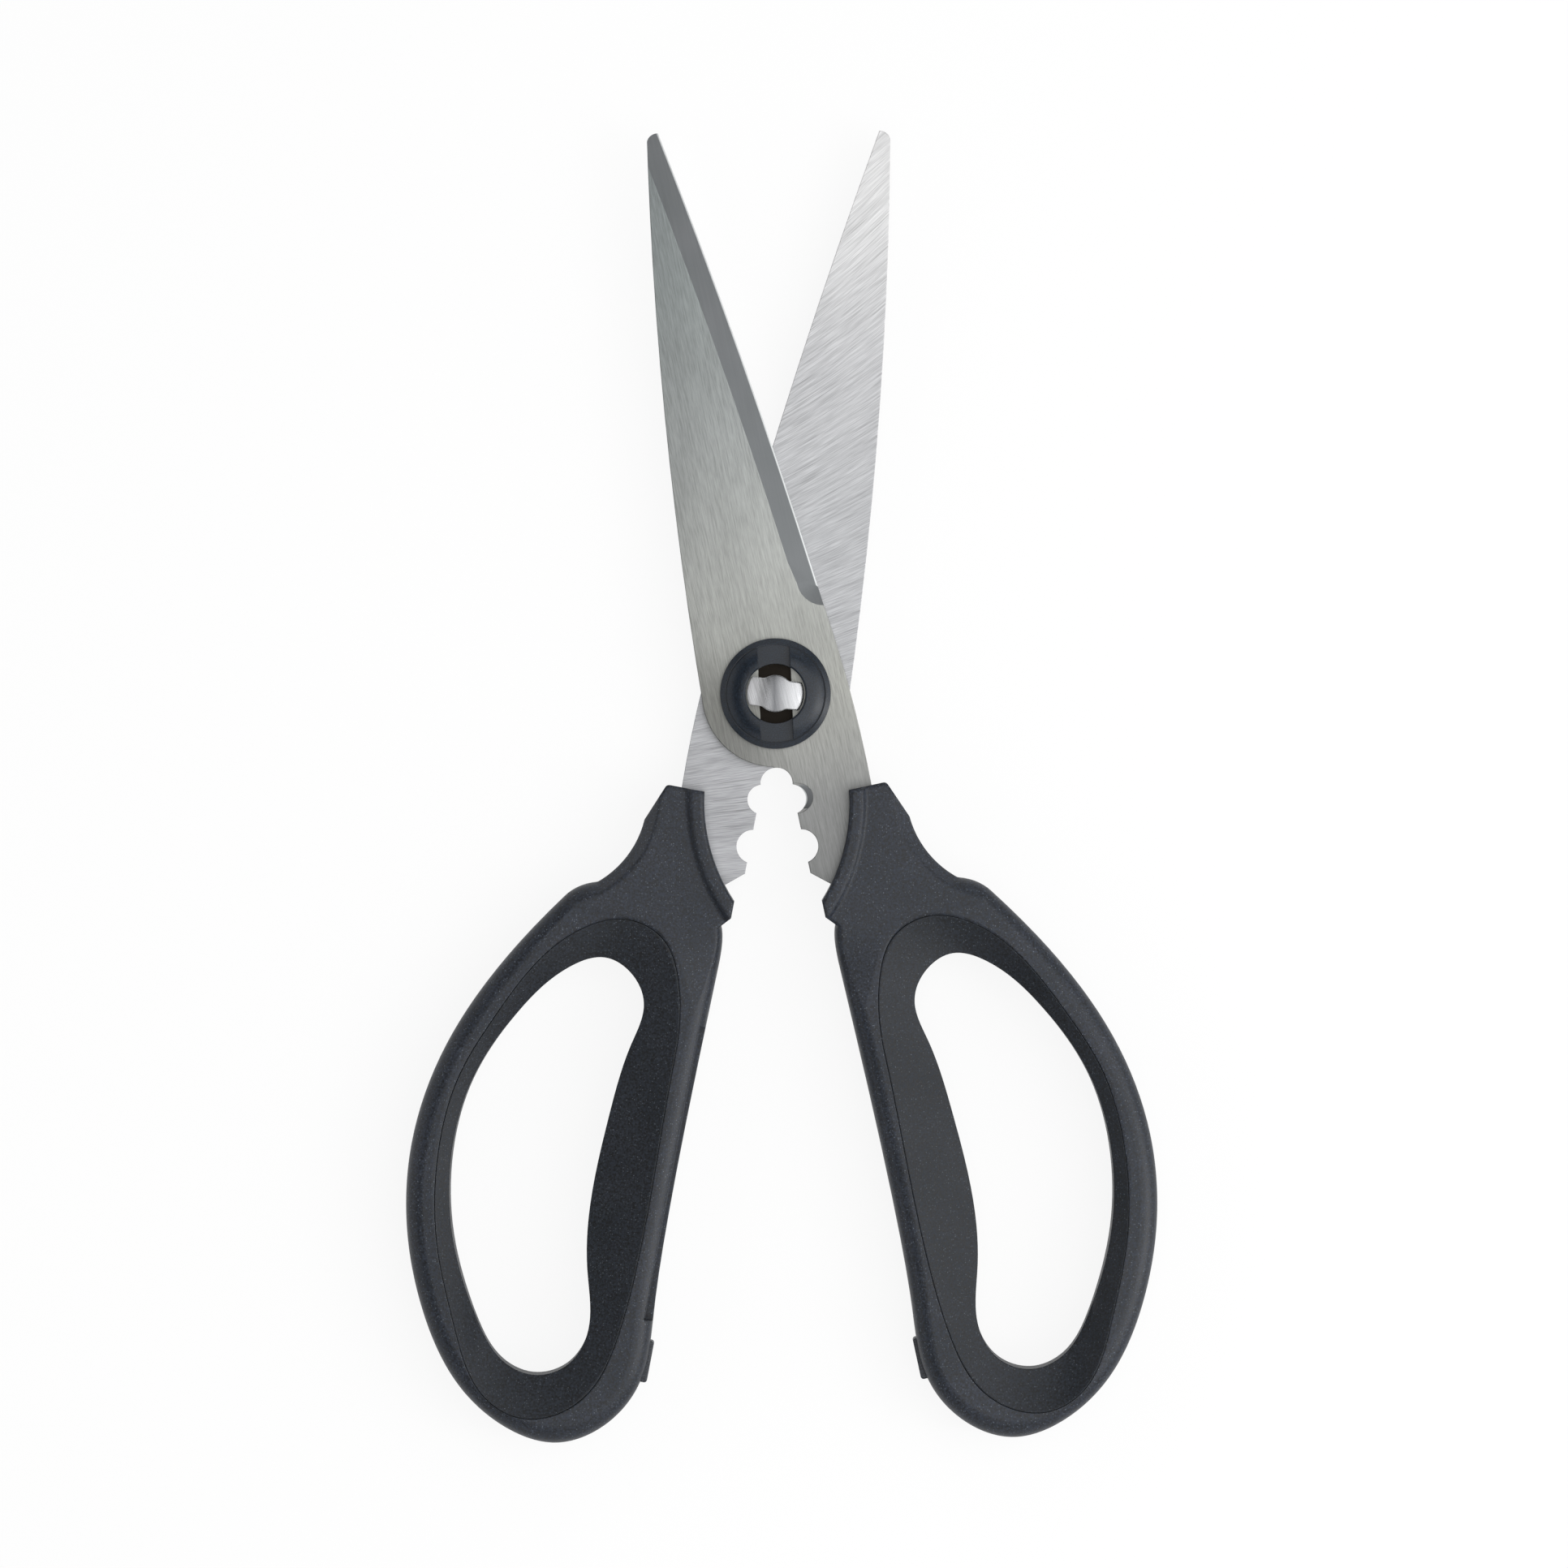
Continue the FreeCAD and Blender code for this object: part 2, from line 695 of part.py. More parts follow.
def neck_plate():
    """The neck between loop and blade: a plate with a bite for the blade and a hollow thumb curve."""
    body = new_body("neck_plate")
    corner = neck_point(NECK_CORNER_SHARE)
    shoulder = neck_point(NECK_SHOULDER_SHARE)
    thumb = [neck_point(share) for share in THUMB_SHARES]
    base = [neck_point(share) for share in NECK_BASE_SHARES]
    foot = [neck_point(share) for share in NECK_FOOT_SHARES]
    outline = [
        line(corner, shoulder),
        line(shoulder, thumb[0]),
        arc(*thumb),
        *chain([thumb[-1], *base, *foot]),
        arc(foot[-1], neck_point(NECK_BITE_SHARE), corner),
    ]
    profile = sketch(body, "neck_outline", outline)
    plate = pad(body, "neck_pad", profile, "sizes.handle_thickness", Midplane=True)
    edges = upright_edges(plate, shoulder, size("neck_round"))
    rounded = fillet(body, "shoulder_round", plate, edges, "sizes.shoulder_round")
    bite = neck_bite()

    def on_collar(middle):
        from_bite = abs((middle - V(bite.Center.x, bite.Center.y, middle.z)).Length - bite.Radius)
        on_top = abs(middle.y - corner.y) < size("shoulder_round")
        return from_bite < half_gap or on_top

    edges = flat_edges(rounded, on_collar)
    fillet(body, "neck_round", rounded, edges, "sizes.neck_round")
    return body


def neck_bite():
    """The circle of the neck's blade side."""
    foot = neck_point(NECK_FOOT_SHARES[-1])
    return arc(foot, neck_point(NECK_BITE_SHARE), neck_point(NECK_CORNER_SHARE)).toShape().Curve


def relief_tools():
    """The shallow slope, front and back, that leaves a raised bead along the neck's blade side."""
    bite = neck_bite()
    foot = neck_point(NECK_FOOT_SHARES[-1])
    corner = neck_point(NECK_CORNER_SHARE)
    middle = (foot + corner) / 2
    away = V(middle.x - bite.Center.x, middle.y - bite.Center.y, 0).normalize()
    along = math.degrees(math.atan2(away.y, away.x))
    tilt = math.degrees(math.atan2(size("bead_relief"), size("relief_run")))
    bead = size("bead_width")
    reach = size("neck_length") + size("relief_run")
    tools = []
    for side in (1, -1):
        start = bite.Center + away * (bite.Radius - bead) + turned(V(0, -reach, 0), along)
        start.z = side * (half_handle - size("bead_relief")) - side * 2 * bead * math.tan(math.radians(tilt))
        turn = FreeCAD.Rotation(V(0, 0, 1), along) * FreeCAD.Rotation(V(0, 1, 0), -side * tilt)
        if side < 0:
            turn = turn * FreeCAD.Rotation(V(1, 0, 0), 180)
            start = start + turned(V(0, 2 * reach, 0), along)
        slab = solid(
            "Part::Box",
            "relief_slab_%d" % (side + 1),
            FreeCAD.Placement(start, turn),
            Height="sizes.bead_relief + sizes.overrun",
        )
        slab.Length = 2 * reach
        slab.Width = 2 * reach
        upright = FreeCAD.Rotation(V(1, 0, 0), 90 - 90 * side)
        base = FreeCAD.Placement(V(bite.Center.x, bite.Center.y, 0), upright)
        keep = solid("Part::Cone", "relief_keep_%d" % (side + 1), base, Height="sizes.handle_thickness")
        keep.Radius1 = bite.Radius + bead + BEAD_SIDE_SHARE * half_handle
        keep.Radius2 = bite.Radius + bead - BEAD_SIDE_SHARE * half_handle
        tools.append(cut("relief_%d" % (side + 1), slab, [keep]))
    return tools


def facet_tools():
    """Cones that slope the top and bottom edges of the thumb curve."""
    rim = arc(*[neck_point(share) for share in FACET_SHARES]).toShape().Curve
    slope = size("facet_run") / size("facet_depth")
    tools = []
    for side in (1, -1):
        low = rim.Radius - size("facet_run")
        high = rim.Radius + overrun * slope
        place = at(rim.Center.x, rim.Center.y, side * (half_handle - size("facet_depth")))
        if side < 0:
            place = place * FreeCAD.Placement(V(), FreeCAD.Rotation(V(1, 0, 0), 180))
        cone = solid(
            "Part::Cone", "facet_%d" % (side + 1), place, Height="sizes.facet_depth + sizes.overrun"
        )
        cone.Radius1 = low
        cone.Radius2 = high
        tools.append(cone)
    return tools


def ledge_tool():
    """The step along the back of the inner arm."""
    return solid(
        "Part::Box",
        "ledge",
        at(-overrun, loop_top - size("ledge_inset") - size("ledge_length"), -half_handle - overrun),
        Length="sizes.overrun + sizes.loop_gap + sizes.ledge_depth",
        Width="sizes.ledge_length",
        Height="sizes.handle_thickness / 2 + sizes.overrun - sizes.ledge_height",
    )


def liner_prism():
    """The space inside the crease between hard frame and soft liner."""
    body = new_body("frame_window")
    profile = sketch(body, "window_outline", [closed_curve(CREASE_SHARES, crease_box(0))])
    pad(body, "window_pad", profile, "sizes.handle_thickness + 2 * sizes.overrun", Midplane=True)
    return body


def tongue(name, clearance):
    """The tongue of the hard frame that the soft liner is moulded round, or the groove it leaves."""
    body = new_body(name)
    depth = TONGUE_SHARE * size("liner_ring_width") + clearance
    outer = closed_curve(CREASE_SHARES, crease_box(-size("tongue_root")))
    inner = closed_curve(CREASE_SHARES, crease_box(depth))
    profile = sketch(body, name + "_outline", [outer, inner])
    pad(body, name + "_pad", profile, "sizes.tongue_height", Midplane=True)
    return body


def liner_ring():
    """The soft liner before it is hollowed: a ring between the opening and the crease."""
    body = new_body("liner_ring")
    crease = closed_curve(CREASE_SHARES, crease_box(size("crease_gap")))
    profile = sketch(body, "liner_outline", [crease, opening_curve])
    pad(body, "liner_pad", profile, "sizes.handle_thickness - 2 * sizes.loop_sink", Midplane=True)
    return body


def dish_box(share):
    """The crease's box, drawn in by a share of each side's run of the hollow."""
    left, bottom, right, top = crease_box(0)
    return (
        left + share * size("dish_arm_run"),
        bottom + share * size("dish_bottom_run"),
        right - share * size("dish_ring_run"),
        top - share * size("dish_top_run"),
    )


def dish_curves(share):
    """The hollow's outline at a share of its depth, in pieces that start at points of the crease."""
    left, bottom, right, top = dish_box(share)
    curve = closed_curve(CREASE_SHARES, (left, bottom, right, top))
    starts = []
    for x, y in CREASE_SHARES[::DISH_STEP]:
        starts.append(curve.parameter(V(left + x * (right - left), bottom + y * (top - bottom), 0)))
    pieces = []
    for start, end in zip(starts, [*starts[1:], curve.LastParameter]):
        piece = curve.copy()
        piece.segment(start, end)
        pieces.append(piece)
    return pieces


def liner_dish(side):
    """The hollow that slopes one face of the liner from the crease down to the opening."""
    name = "liner_dish_%d" % (side + 1)
    body = new_body(name)
    sections = []
    for number, share in enumerate((-DISH_OVER_SHARE, 1.0)):
        fall = "sizes.handle_thickness / 2 - sizes.loop_sink - %g * sizes.dish_depth" % share
        height = "%d * (%s)" % (side, fall)
        outline = sketch(body, "%s_outline_%d" % (name, number), dish_curves(share), height)
        sections.append(outline)
    loft = body.newObject("PartDesign::AdditiveLoft", name + "_loft")
    loft.Profile = sections[0]
    loft.Sections = sections[1:]
    loft.Ruled = True
    return body


def stop_pad():
    """The soft bumper on the inner arm."""
    body = new_body("stop_pad")
    low = loop_box[1] + size("pad_rise")
    high = low + size("pad_length")
    left = size("loop_gap") - size("pad_proud")
    right = size("loop_gap") + size("pad_seat")
    corners = [V(left, low, 0), V(right, low, 0), V(right, high, 0), V(left, high, 0)]
    profile = sketch(body, "pad_outline", chain([*corners, corners[0]]))
    block = pad(body, "pad_block", profile, "sizes.pad_height", Midplane=True)
    edges = upright_edges(block, corners[0], size("pad_round"))
    edges += upright_edges(block, corners[3], size("pad_round"))
    fillet(body, "pad_round", block, edges, "sizes.pad_round")
    return body


def handle_pieces(tang, bumper):
    """The hard frame and its soft liner, parted along the crease."""
    neck = cut("neck_faceted", neck_plate(), facet_tools())
    form = fuse("handle_form", [loop_ring(), neck])
    blank = cut("handle_blank", form, [*relief_tools(), ledge_tool()])
    shell = cut("handle_shell", blank, [liner_prism()])
    frame = fuse("handle_frame", [shell, tongue("frame_tongue", 0)])
    frame = cut("handle_seated", frame, [tang, bumper])
    hollows = [liner_dish(side) for side in (1, -1)]
    return frame, cut("grip", liner_ring(), [*hollows, tongue("liner_groove", size("crease_gap"))])


# The pieces, and the half that each belongs to
tang, front_steel, rear_steel = blades()
bumper = stop_pad()
hard_frame, soft_liner = handle_pieces(tang, bumper)
PIECES = {
    "front_blade": (front_steel, "front"),
    "pivot_collar": (collar(), "front"),
    "right_handle": (hard_frame, "front"),
    "right_grip": (soft_liner, "front"),
    "right_stop_pad": (bumper, "front"),
    "rear_blade": (rear_steel, "rear"),
    "pivot_stud": (stud(), "rear"),
    "left_handle": (hard_frame, "rear"),
    "left_grip": (soft_liner, "rear"),
    "left_stop_pad": (bumper, "rear"),
}
nodes = []
for name, (form, half) in PIECES.items():
    node = doc.addObject("Part::Compound", name)
    node.Label = name
    node.Links = [form]
    node.Placement = HALF_PLACES[half]
    nodes.append(node)
doc.recompute()

failed = [item.Name for item in doc.Objects if {"Invalid", "Error"} & set(item.State)]
if failed:
    raise RuntimeError("not built: %s" % failed)
for node in nodes:
    if node.Shape.isNull() or not node.Shape.isValid():
        raise RuntimeError("no sound solid: %s" % node.Label)
    if len(node.Shape.Solids) != 1:
        raise RuntimeError("%s has %d solids" % (node.Label, len(node.Shape.Solids)))

os.makedirs("parts", exist_ok=True)
for node in nodes:
    node.Shape.exportStep(os.path.join("parts", node.Label + ".step"))
    print("%-16s %9.1f mm3" % (node.Label, node.Shape.Volume))
print("pivot at", stand.Base)
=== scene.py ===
"""Looks of the take-apart kitchen shears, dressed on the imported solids."""

import json
import math

import bpy
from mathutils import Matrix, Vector


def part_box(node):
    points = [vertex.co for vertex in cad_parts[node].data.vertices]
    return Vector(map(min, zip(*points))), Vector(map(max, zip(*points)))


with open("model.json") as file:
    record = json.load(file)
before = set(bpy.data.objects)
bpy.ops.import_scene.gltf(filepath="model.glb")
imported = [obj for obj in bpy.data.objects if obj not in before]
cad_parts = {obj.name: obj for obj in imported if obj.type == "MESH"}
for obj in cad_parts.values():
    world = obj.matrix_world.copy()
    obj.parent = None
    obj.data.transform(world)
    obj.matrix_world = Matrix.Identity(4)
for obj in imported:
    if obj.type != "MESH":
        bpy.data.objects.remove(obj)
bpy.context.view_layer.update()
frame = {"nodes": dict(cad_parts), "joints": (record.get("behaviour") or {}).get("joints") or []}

MM = 0.001
NODES = frame["nodes"]
PIVOT = Vector(frame["joints"][0]["pos_m"])

# How the photograph was taken: straight down, with a slight roll
IMAGE_SIDE = 1932
PIXEL = 0.1361 * MM
PIVOT_PIXEL = (955.5, 854.8)
ROLL = math.radians(0.7)
CAMERA_HEIGHT = 1.5
SENSOR = 36.0

# What the finishes follow in the solids: how far each half is opened, how far a blade reaches past the
# pivot, and the thickness that the bevel leaves at its edge
OPEN_ANGLE = math.radians(11.45)
BLADE_REACH = 96 * MM
EDGE_LAND = 0.25 * MM

# The upright part of a normal: a slope starts to count as level at the first value and does at the second
LEVEL_ENDS = (0.975, 0.992)

# How many rays look for the edges near a point
EDGE_SAMPLES = 8


class Shader:
    """A material's node tree, with short calls for the nodes used here."""

    def __init__(self, name, **sockets):
        self.material = bpy.data.materials.new(name)
        self.material.use_nodes = True
        self.tree = self.material.node_tree
        self.surface = self.tree.nodes["Principled BSDF"]
        for key, value in sockets.items():
            self.set(key.replace("_", " "), value)

    def set(self, socket, value):
        self.feed(self.surface.inputs[socket], value)

    def feed(self, socket, value):
        """A link from another node's output, or a plain value."""
        if isinstance(value, bpy.types.NodeSocket):
            self.tree.links.new(value, socket)
        elif socket.type == "RGBA":
            socket.default_value = (*value, 1.0)
        else:
            socket.default_value = value

    def add(self, kind, inputs=None, **settings):
        item = self.tree.nodes.new(kind)
        for key, value in settings.items():
            setattr(item, key, value)
        for key, value in (inputs or {}).items():
            self.feed(item.inputs[key], value)
        return item

    def place(self):
        """Where a point is on the object, in metres in the frame at rest."""
        return self.add("ShaderNodeTexCoord").outputs["Object"]

    def axes(self, vector):
        return self.add("ShaderNodeSeparateXYZ", {"Vector": vector}).outputs

    def vector(self, x, y, z):
        return self.add("ShaderNodeCombineXYZ", {"X": x, "Y": y, "Z": z}).outputs[0]

    def grid(self, cell, turn=0.0):
        """Places counted from the pivot in cells of one size or three, on axes turned about z."""
        size = cell if isinstance(cell, tuple) else (cell, cell, cell)
        inputs = {"Vector": self.place(), "Location": PIVOT, "Rotation": (0, 0, turn), "Scale": size}
        return self.add("ShaderNodeMapping", inputs, vector_type="TEXTURE").outputs[0]

    def math(self, operation, *values):
        item = self.add("ShaderNodeMath", operation=operation)
        for socket, value in zip(item.inputs, values):
            self.feed(socket, value)
        return item.outputs[0]

    def distance(self, axes, centre=(0.0, 0.0)):
        """How far a point is from a centre, seen along z."""
        x, y = (self.math("SUBTRACT", axes[key], part) for key, part in zip("XY", centre))
        item = self.add("ShaderNodeVectorMath", {0: self.vector(x, y, 0.0)}, operation="LENGTH")
        return item.outputs["Value"]

    def noise(self, vector, detail):
        inputs = {"Vector": vector, "Scale": 1.0, "Detail": detail}
        return self.add("ShaderNodeTexNoise", inputs).outputs["Fac"]

    def lay(self, first, second, share):
        """Two grains laid together, the first with a share of the whole."""
        parts = (self.math("MULTIPLY", first, share), self.math("MULTIPLY", second, 1 - share))
        return self.math("ADD", *parts)

    def span(self, value, start, end, low=0.0, high=1.0, smooth=False):
        """A value stretched from one range to another, and held at its ends."""
        item = self.add("ShaderNodeMapRange", interpolation_type="SMOOTHSTEP" if smooth else "LINEAR")
        for socket, part in zip(item.inputs, (value, start, end, low, high)):
            self.feed(socket, part)
        return item.outputs[0]

    def vary(self, noise, low, high, spread=0.2):
        """A value from low to high that follows a noise over a spread on each side of its middle."""
        middle = 0.5
        return self.span(noise, middle - spread, middle + spread, low, high)

    def mix(self, factor, first, second, blend="MIX"):
        item = self.add("ShaderNodeMix", data_type="RGBA", blend_type=blend)
        for number, value in ((0, factor), (6, first), (7, second)):
            self.feed(item.inputs[number], value)
        return item.outputs[2]

    def shade(self, colour, light, *more):
        """A colour made lighter or darker by one or more values about 1."""
        for part in more:
            light = self.math("MULTIPLY", light, part)
        return self.mix(1.0, colour, self.vector(light, light, light), "MULTIPLY")

    def ramp(self, factor, stops):
        """Colours along a range, from stops of a place and a colour."""
        item = self.add("ShaderNodeValToRGB", {"Fac": factor})
        band = item.color_ramp
        while len(band.elements) < len(stops):
            band.elements.new(1.0)
        for element, (place, colour) in zip(band.elements, stops):
            element.position = place
            element.color = (*colour, 1.0)
        return item.outputs["Color"]

    def bump(self, height, depth, normal, strength):
        inputs = {"Height": height, "Distance": depth, "Normal": normal, "Strength": strength}
        return self.add("ShaderNodeBump", inputs).outputs[0]

    def soft_edges(self, radius):
        """Normals that run round the edges, as a worn or moulded corner does."""
        return self.add("ShaderNodeBevel", {"Radius": radius}, samples=EDGE_SAMPLES).outputs[0]

    def level_faces(self, normal, where):
        """Normals that treat a nearly level face as level, so that a shallow slope shows no edge."""
        upright = self.axes(normal)["Z"]
        near = self.span(self.math("ABSOLUTE", upright), *LEVEL_ENDS, smooth=True)
        level = self.vector(0.0, 0.0, self.math("SIGN", upright))
        return self.blend_normals(self.math("MULTIPLY", near, where), normal, level)

    def blend_normals(self, factor, first, second):
        """A direction between two others."""
        item = self.add("ShaderNodeMix", data_type="VECTOR")
        for number, value in ((0, factor), (4, first), (5, second)):
            self.feed(item.inputs[number], value)
        unit = self.add("ShaderNodeVectorMath", {0: item.outputs[1]}, operation="NORMALIZE")
        return unit.outputs["Vector"]


# Outer face of a blade

# The cells of its grain across, along and through the blade, the grain's depth and the radius of the edges
OUTER_FINE = (0.14 * MM, 2.2 * MM, 1 * MM)
OUTER_COARSE = (0.28 * MM, 7 * MM, 2 * MM)
OUTER_DRIFT = (9 * MM, 26 * MM, 20 * MM)
OUTER_DEPTH = 0.008 * MM
OUTER_EDGE = 0.2 * MM

# In shares of the blade's reach: the end of the tang, where painted shade darkens the -x side, and
# a painted shadow of the collar beside the pivot
TANG_SHARE = -0.4
FLANK_SHADE_SHARES = (-0.12, 0.03)
COLLAR_SHADOW_CENTRE_SHARES = (-0.12, -0.02)
COLLAR_SHADOW_REACH_SHARES = (0.02, 0.16)

# How bright the painted shade on the -x side and the painted shadow of the collar are beside the rest, and
# the painted light tones from the end of the tang to the tip
FLANK_SHADE_LIGHT = 0.8
COLLAR_SHADOW_LIGHT = 0.70
OUTER_LIT_TONES = (
    (0.00, (0.183, 0.186, 0.185)),
    (0.14, (0.217, 0.220, 0.217)),
    (0.28, (0.318, 0.321, 0.300)),
    (0.44, (0.353, 0.362, 0.348)),
    (0.62, (0.305, 0.319, 0.315)),
    (0.80, (0.247, 0.268, 0.266)),
    (1.00, (0.218, 0.238, 0.240)),
)


def brushed_steel(name, lean):
    """Fine grain along the blade, with painted light darker towards the tip and down the tang, and painted
    shade by the collar.
    """
    shader = Shader(name, Metallic=1.0)
    fine = shader.noise(shader.grid(OUTER_FINE, lean), detail=3)
    coarse = shader.noise(shader.grid(OUTER_COARSE, lean), detail=3)
    drift = shader.noise(shader.grid(OUTER_DRIFT, lean), detail=2)
    grain = shader.lay(fine, coarse, share=0.5)
    local = shader.axes(shader.grid(BLADE_REACH, lean))
    # painted light: brightest near the middle of the blade, darker towards the tip and down the tang
    tone = shader.ramp(shader.span(local["Y"], TANG_SHARE, 1.0), OUTER_LIT_TONES)
    # painted shade, darker towards the -x side of the blade
    flank_shade = shader.span(local["X"], *FLANK_SHADE_SHARES, low=FLANK_SHADE_LIGHT)
    # a painted shadow of the collar, beside the pivot on the -x side
    apart = shader.distance(local, COLLAR_SHADOW_CENTRE_SHARES)
    collar_shadow = shader.span(apart, *COLLAR_SHADOW_REACH_SHARES, low=COLLAR_SHADOW_LIGHT, smooth=True)
    streak = shader.vary(grain, low=0.78, high=1.22, spread=0.12)
    cloud = shader.vary(drift, low=0.92, high=1.08)
    shader.set("Base Color", shader.shade(tone, streak, cloud, flank_shade, collar_shadow))
    shader.set("Roughness", shader.vary(grain, low=0.34, high=0.48))
    shader.set("Normal", shader.bump(grain, OUTER_DEPTH, shader.soft_edges(OUTER_EDGE), strength=0.5))
    return shader.material


# Bevel of a blade

BEVEL_FINE = (0.3 * MM, 18 * MM, 1 * MM)
BEVEL_DRIFT = 10 * MM
BEVEL_DEPTH = 0.002 * MM
BEVEL_EDGE = 0.12 * MM
# Both tones are kept dark: painted shade for the darker surroundings that the bevel faces reflect
BEVEL_SHADED_DARK = (0.147, 0.156, 0.160)
BEVEL_SHADED_PALE = (0.163, 0.170, 0.176)

# The painted highlight along the cutting edge ends between these shares of the bevel's rise
KEEN_GLINT_SHARES = (0.03, 0.09)
KEEN_GLINT_TONE = (0.6, 0.62, 0.62)

# How much of the shading takes the direction of the bevel's main face
EVEN_SHARE = 0.85


def honed_steel(name, lean, edge_height, top_height, facing):
    """Smooth, kept dark by painted shade, its run-out at the heel shaded alike, with a painted highlight
    along the cutting edge.
    """
    shader = Shader(name, Metallic=1.0)
    fine = shader.noise(shader.grid(BEVEL_FINE, lean), detail=2)
    drift = shader.noise(shader.grid(BEVEL_DRIFT, lean), detail=1)
    rise = shader.span(shader.axes(shader.place())["Z"], edge_height, top_height)
    # painted highlight along the cutting edge
    keen_glint = shader.span(rise, *KEEN_GLINT_SHARES, low=1.0, high=0.0, smooth=True)
    # painted shade: the bevel's dark tone, with a slow random drift between its two ends
    tone = shader.mix(shader.vary(drift, low=0.0, high=1.0), BEVEL_SHADED_DARK, BEVEL_SHADED_PALE)
    body = shader.shade(tone, shader.vary(fine, low=0.96, high=1.04))
    shader.set("Base Color", shader.mix(keen_glint, body, KEEN_GLINT_TONE))
    shader.set("Roughness", shader.vary(fine, low=0.30, high=0.40))
    turned = shader.add(
        "ShaderNodeVectorTransform",
        {"Vector": tuple(facing)},
        vector_type="NORMAL",
        convert_from="OBJECT",
        convert_to="WORLD",
    )
    even = shader.blend_normals(EVEN_SHARE, shader.soft_edges(BEVEL_EDGE), turned.outputs[0])
    shader.set("Normal", shader.bump(fine, BEVEL_DEPTH, even, strength=0.3))
    return shader.material


# Inner face of a blade

# In millimetres from the pivot: where the slant of the marks changes, where the painted light tones do, and
# the rim of the painted shade round the pivot
SLANT_ENDS = (-25.0, 85.0)
INNER_ENDS = (-25.0, 95.0)
KEYWAY_SHADE_RIM = (5.0, 6.0)

# How far a mark rises for each millimetre across, at the tang and near the tip
SLANTS = (0.07, 0.85)

# Width and length of a mark in millimetres, and the detail of its noise: fine, coarse, groups and bands
GRIND_LAYERS = ((0.14, 4, 3), (0.16, 12, 3), (0.45, 20, 3), (6.0, 60, 2))

INNER_DEPTH = 0.010 * MM
INNER_EDGE = 0.15 * MM

# A scratch starts where the coarse noise passes the first value, and is this dark from the second on
SCRATCH_ENDS = (0.59, 0.68)
SCRATCH_LIGHT = 0.72

# The tone of the painted shade round the pivot, where the keyway lies deep, and the painted light tones from
# the tang to the tip
KEYWAY_SHADE_TONE = (0.020, 0.017, 0.014)
INNER_LIT_TONES = (
    (0.0, (0.370, 0.373, 0.386)),
    (0.2, (0.395, 0.399, 0.411)),
    (0.45, (0.425, 0.43, 0.441)),
    (0.68, (0.488, 0.49, 0.501)),
    (0.90, (0.635, 0.635, 0.637)),
)


def ground_steel(name, side):
    """Bright, with grind marks that slant more and more towards the tip, painted light that brightens
    towards the tip, and painted shade round the pivot.
    """
    shader = Shader(name, Metallic=1.0)
    local = shader.axes(shader.grid(MM))
    slant = shader.span(local["Y"], *SLANT_ENDS, *SLANTS)
    across = shader.math("MULTIPLY", local["X"], float(side))
    mark = shader.math("SUBTRACT", local["Y"], shader.math("MULTIPLY", across, slant))
    layers = []
    for width, length, detail in GRIND_LAYERS:
        down = shader.math("DIVIDE", mark, width)
        along = shader.math("DIVIDE", across, length)
        # the width also serves as the third axis, so that no two layers share a pattern
        layers.append(shader.noise(shader.vector(down, along, width), detail))
    fine, coarse, group, band = layers
    scratch = shader.span(coarse, *SCRATCH_ENDS, low=1.0, high=SCRATCH_LIGHT)
    streak = shader.vary(fine, low=0.84, high=1.16, spread=0.14)
    cluster = shader.vary(group, low=0.955, high=1.045, spread=0.1)
    cloud = shader.vary(band, low=0.94, high=1.06, spread=0.18)
    # painted light: the tone brightens from the tang towards the tip
    tone = shader.ramp(shader.span(local["Y"], *INNER_ENDS), INNER_LIT_TONES)
    steel = shader.shade(tone, scratch, streak, cluster, cloud)
    # painted shade round the pivot, where the keyway lies deep
    keyway_shade = shader.span(shader.distance(local), *KEYWAY_SHADE_RIM, low=1.0, high=0.0, smooth=True)
    height = shader.lay(fine, coarse, share=0.4)
    shader.set("Base Color", shader.mix(keyway_shade, steel, KEYWAY_SHADE_TONE))
    shader.set("Roughness", shader.vary(band, low=0.36, high=0.5))
    shader.set("Normal", shader.bump(height, INNER_DEPTH, shader.soft_edges(INNER_EDGE), strength=0.6))
    return shader.material


# Key head

HEAD_LEAN = math.radians(14)
HEAD_FINE = (0.12 * MM, 3.5 * MM, 3 * MM)
HEAD_COARSE = (0.45 * MM, 8 * MM, 6 * MM)
HEAD_DEPTH = 0.004 * MM
HEAD_EDGE = 0.35 * MM

# How far the tones reach on each side of the pivot, and the tones from the left wing to the right one:
# painted highlights on the wings and painted shade in the middle
HEAD_HALF = 4.6 * MM
HEAD_SHEEN_TONES = (
    (0.10, (0.76, 0.765, 0.78)),
    (0.48, (0.145, 0.148, 0.155)),
    (0.82, (0.46, 0.465, 0.475)),
)

# The left wing is shaded as a pale surface, which turns to metal between these shares of the half; being
# hardly metal there, its painted highlight shows from every side
METAL_SHARES = (-0.8, -0.1)
PALE_METALLIC = 0.15


